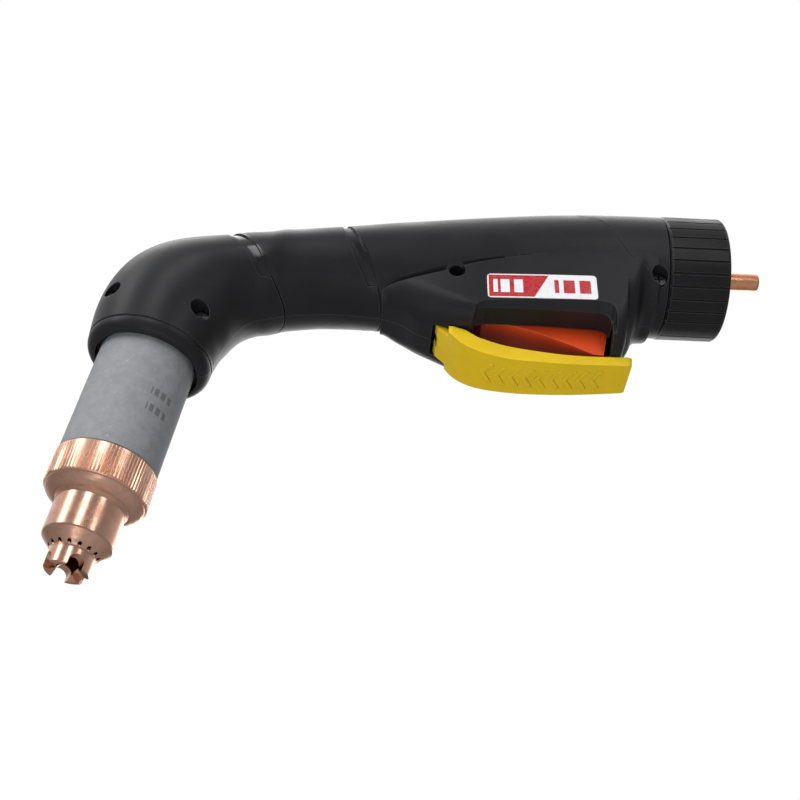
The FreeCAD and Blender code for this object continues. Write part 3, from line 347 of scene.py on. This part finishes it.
def plate_print():
    """Rating plate film: white border, slanted divide, red field on its -X side, plain bars."""
    s = Surface("plate_print")
    x, z = s.along((1, 0, 0)), s.along((0, 0, 1))
    # plate outline, border width and bar height, in mm
    x_low, x_high, z_low, z_high = -84.95, -47.85, -28.65, -18.0
    border = 0.6
    bar_low, bar_high = -26.2, -20.5
    bar_slant = 0.0
    red, white = srgb(172, 30, 36), srgb(222, 222, 225)

    inside = s.times(s.between(x, x_low + border, x_high - border, soft=0.05),
                     s.between(z, z_low + border, z_high - border, soft=0.05))
    # the divide leans towards +X at the top
    divide = s.plus(s.times(s.minus(z, z_low), 0.55), -69.6)
    red_side = s.ramp(s.minus(x, divide), span=(0.08, -0.08))

    def bars(columns):
        """Mask of upright bars, each given by its middle x and half width."""
        masks = []
        for middle, half in columns:
            shift = s.times(s.minus(z, (bar_low + bar_high) / 2), bar_slant)
            width = s.between(s.minus(x, shift), middle - half, middle + half, soft=0.06)
            masks.append(s.times(width, s.between(z, bar_low, bar_high, soft=0.06)))
        return s.union(masks)

    white_bars = bars(((-82.1, 0.75), (-78.9, 1.5), (-74.4, 1.5)))
    red_bars = bars(((-61.6, 0.75), (-57.4, 1.9), (-52.0, 1.9)))
    color = s.mix(red_side, s.mix(red_bars, white, red), s.mix(white_bars, red, white))
    color = s.mix(inside, white, color)
    wear = s.scratches(scale=0.8, stretch=(1.0, 6.0, 6.0), rotation=(0.2, 0.4, 0.5),
                       span=(0.66, 0.72))
    color = s.tint(color, srgb(205, 195, 192), wear, amount=0.18)
    fading = s.ramp(s.noise(scale=0.25), span=(0.4, 0.8), to=(0.0, 0.12))
    color = s.mix(fading, color, srgb(160, 150, 150))
    normal = s.bump(s.noise(scale=1.4, detail=3),
                    strength=0.05, distance=0.00006, rounded=0.00015)
    roughness = s.ramp(s.noise(scale=0.5, detail=3), span=(0.3, 0.7), to=(0.24, 0.34))
    return s.finish(color, roughness, normal, IOR=1.5)


def wire_jacket():
    """Dull red cable jacket."""
    s = Surface("wire_jacket")
    cloud = s.noise(scale=1.1)
    color = s.mix(s.ramp(cloud, span=(0.3, 0.7)), srgb(120, 18, 20), srgb(92, 12, 14))
    # crevices darkened by occlusion: painted shade
    color = s.crevice_shade_and_grime(color, srgb(30, 6, 6), reach=0.002, span=(0.7, 0.2), amount=0.6)
    normal = s.bump(s.noise(scale=4.0, detail=3), strength=0.15, distance=0.0001)
    return s.finish(color, s.ramp(cloud, span=(0.3, 0.7), to=(0.42, 0.58)), normal)


# Each material, and the pieces that wear it
FINISHES = (
    (black_plastic("handle_black", srgb(22, 22, 24), rough=0.38, glossy=True),
     "handle_shell_left handle_shell_right"),
    (black_plastic("collar_black", srgb(22, 22, 24), rough=0.38), "rear_collar"),
    (black_plastic("nut_black", srgb(17, 17, 18), rough=0.34, grain=4.0, bump=0.12),
     "coupling_nut"),
    (black_plastic("switch_case", srgb(24, 24, 26), rough=0.45, rounded=0.0002),
     "microswitch_body"),
    (black_plastic("seal_rubber", srgb(20, 20, 21), rough=0.62, grain=2.4, bump=0.2,
                   rounded=0.0002), "lead_gland o_ring"),
    (cap_grey(), "retaining_cap_sleeve"),
    (turned_copper("copper", srgb(242, 192, 166), srgb(204, 134, 102), rough=0.20), "shield"),
    (turned_copper("copper_inner", srgb(226, 160, 128), srgb(170, 96, 66), rough=0.26),
     "electrode nozzle"),
    (metal("tube_copper", srgb(250, 184, 144), srgb(204, 124, 86), rough=0.28, scale=0.9,
           bump=0.2, tarnish=0.5, rounded=0.0002), "lead_tube"),
    (metal("brass", srgb(214, 178, 104), srgb(150, 112, 52)),
     "torch_head_body cathode_body retaining_cap_liner"),
    (metal("screw_zinc", srgb(196, 198, 202), srgb(120, 122, 126)), "shell_screws"),
    (metal("screw_dark", srgb(84, 84, 88), srgb(40, 40, 42), rough=0.34), "collar_screws"),
    (metal("spring_steel", srgb(168, 170, 174), srgb(96, 98, 102), rough=0.32),
     "nut_snap_ring trigger_pin trigger_spring lever_pin lever_spring start_spring"),
    (metal("emitter", srgb(130, 132, 138), srgb(80, 82, 88), rough=0.4), "emitter_insert"),
    (plastic("lever_yellow", srgb(218, 184, 18), srgb(200, 160, 8), rough=0.42, bump=0.10,
             subsurface=0.05, rounded=0.0005, edge_wear_and_highlight=srgb(240, 212, 60)), "safety_lever"),
    # The trigger's wide, strong crevice darkening is painted shade for its shadowed part inside
    # the opening.
    (plastic("trigger_orange", srgb(214, 72, 26), srgb(176, 50, 16), rough=0.40, bump=0.10,
             subsurface=0.04, edge_wear_and_highlight=srgb(240, 120, 70), reach=0.016, crevice_shade_and_grime=0.85), "trigger"),
    (plastic("switch_red", srgb(170, 30, 26), srgb(120, 18, 16), rough=0.35, rounded=0.0001),
     "switch_button"),
    (plastic("insulator", srgb(140, 84, 56), srgb(100, 56, 36), rough=0.55, bump=0.25,
             rounded=0.0002, grain=1.6), "head_insulator swirl_ring"),
    (plate_print(), "rating_plate"),
    (wire_jacket(), "switch_leads pilot_lead"),
)
material_of = {piece: material for material, names in FINISHES for piece in names.split()}
SHARP_ANGLE = math.radians(28)
for name, piece in pieces.items():
    mesh = piece.data
    mesh.materials.clear()
    mesh.materials.append(material_of[name])
    mesh.polygons.foreach_set("use_smooth", [True] * len(mesh.polygons))
    mesh.set_sharp_from_angle(angle=SHARP_ANGLE)


# ------------------------------------------------------------------ stage
def pale_floor():
    """Pale floor shown only to camera rays from above, fading out away from the torch."""
    s = Surface("pale_floor")
    geometry = s.add("NewGeometry").outputs
    camera_ray = s.add("LightPath").outputs["Is Camera Ray"]
    clear = s.add("BsdfTransparent").outputs[0]
    shown = s.times(camera_ray, s.minus(1.0, geometry["Backfacing"]))
    color = s.mix(s.ramp(s.noise(scale=0.012, detail=5), span=(0.3, 0.7)),
                  (0.50, 0.50, 0.495, 1), (0.53, 0.53, 0.528, 1))
    normal = s.bump(s.noise(scale=0.6), strength=0.04, distance=0.0003)
    s.finish(color, roughness=0.75, normal=normal,
             Emission_Color=(1.0, 1.0, 0.995, 1), Emission_Strength=0.34)
    distance = s.add("VectorMath", {0: geometry["Position"],
                                    1: (centre.x, centre.y, low_corner.z)},
                     operation="DISTANCE").outputs["Value"]
    shown = s.times(shown, s.ramp(distance, span=(0.85, 0.24)))
    blend = s.add("MixShader", {0: shown, 1: clear, 2: s.shader.outputs[0]})
    feed(s.tree, blend.outputs[0], s.output.inputs["Surface"])
    return s.material


def add_floor():
    material = pale_floor()
    mesh = bpy.data.meshes.new("floor")
    z = low_corner.z - FLOOR_GAP
    corners = ((-1, -1), (1, -1), (1, 1), (-1, 1))
    mesh.from_pydata([(x * FLOOR_HALF, y * FLOOR_HALF, z) for x, y in corners],
                     [], [(0, 1, 2, 3)])
    floor = bpy.data.objects.new("floor", mesh)
    mesh.materials.append(material)
    scene.collection.objects.link(floor)


def add_world():
    """White to the camera; a soft graded studio for light and reflections."""
    world = bpy.data.worlds.new("studio")
    scene.world = world
    world.use_nodes = True
    tree = world.node_tree
    tree.nodes.clear()
    coords = add_node(tree, "TexCoord")
    # height in the studio: 1 towards the bright side, above and slightly to +Y
    height = add_node(tree, "VectorMath", {0: coords.outputs["Generated"],
                                           1: (0.0, 0.34, 0.94)}, operation="DOT_PRODUCT")
    fraction = add_node(tree, "MapRange", {"Value": height.outputs["Value"], "From Min": -1.0})
    grade = add_node(tree, "ValToRGB", {0: fraction.outputs[0]})
    stops = grade.color_ramp.elements
    stops[0].color = (0.40, 0.40, 0.405, 1)
    stops[1].color = (1.0, 1.0, 1.0, 1)
    # position along the grade, brightness
    for position, level in ((0.25, 0.28), (0.5, 0.22), (0.62, 0.25), (0.80, 0.6), (0.93, 0.95)):
        stops.new(position).color = (level, level, level * 1.02, 1)
    seen = add_node(tree, "Background", {"Color": (1, 1, 1, 1), "Strength": 1.0})
    light = add_node(tree, "Background", {"Color": grade.outputs[0], "Strength": 1.0})
    path = add_node(tree, "LightPath")
    blend = add_node(tree, "MixShader", {0: path.outputs["Is Camera Ray"],
                                         1: light.outputs[0], 2: seen.outputs[0]})
    add_node(tree, "OutputWorld", {0: blend.outputs[0]})


def add_camera():
    data = bpy.data.cameras.new("camera")
    camera = bpy.data.objects.new("camera", data)
    scene.collection.objects.link(camera)
    data.sensor_width = 36.0
    data.lens = 60.019
    data.clip_start = 0.01
    data.clip_end = 50.0
    pose = Matrix((RIGHT, UP, BACK)).transposed().to_4x4()
    pose.translation = CAMERA_PLACE
    camera.matrix_world = pose
    scene.camera = camera
    scene.view_settings.view_transform = "Standard"


add_floor()
add_world()
add_camera()


# ------------------------------------------------------------------ lights
def area(name, place, target, width, height, energy, color=(1, 1, 1), glossy=True):
    """A rectangular light aimed at target; glossy lets it show in reflections."""
    data = bpy.data.lights.new(name, "AREA")
    data.shape = "RECTANGLE"
    data.size, data.size_y = width, height
    data.energy = energy
    data.color = color
    light = bpy.data.objects.new(name, data)
    scene.collection.objects.link(light)
    light.location = place
    light.rotation_euler = (target - place).to_track_quat("-Z", "Y").to_euler()
    light.visible_camera = False
    light.visible_glossy = glossy


area("key_top", centre + Vector((-0.1, 0.22, 0.8)), centre,
     width=0.9, height=0.5, energy=2.6, color=(1.0, 0.99, 0.98))
# The fills only lift the matt colours, so the black plastic keeps its dark flanks
area("fill_up", centre + UP * 0.7 + BACK * 0.45 - RIGHT * 0.25, centre,
     width=0.7, height=0.7, energy=3.6, glossy=False)
area("fill_camera", centre + BACK * 0.9 - RIGHT * 0.25 - UP * 0.35, centre,
     width=0.7, height=0.7, energy=6.2, glossy=False)
# Small panels close to the nozzle, for the bright bands in the copper
area("band_front", TIP + Vector((0.02, -0.81, 0.58)) * 0.34, TIP,
     width=0.075, height=0.22, energy=0.20)
area("band_left", TIP + Vector((-0.62, -0.45, 0.64)) * 0.34, TIP,
     width=0.10, height=0.26, energy=0.26)
area("band_right", TIP + Vector((0.66, -0.62, 0.42)) * 0.36, TIP,
     width=0.05, height=0.2, energy=0.09)
area("nozzle_low", TIP + BACK * 0.34 - UP * 0.12 - RIGHT * 0.05, TIP,
     width=0.16, height=0.12, energy=0.05)
area("back_soft", centre + Vector((0.1, 0.8, 0.35)), centre,
     width=0.8, height=0.8, energy=3.0)
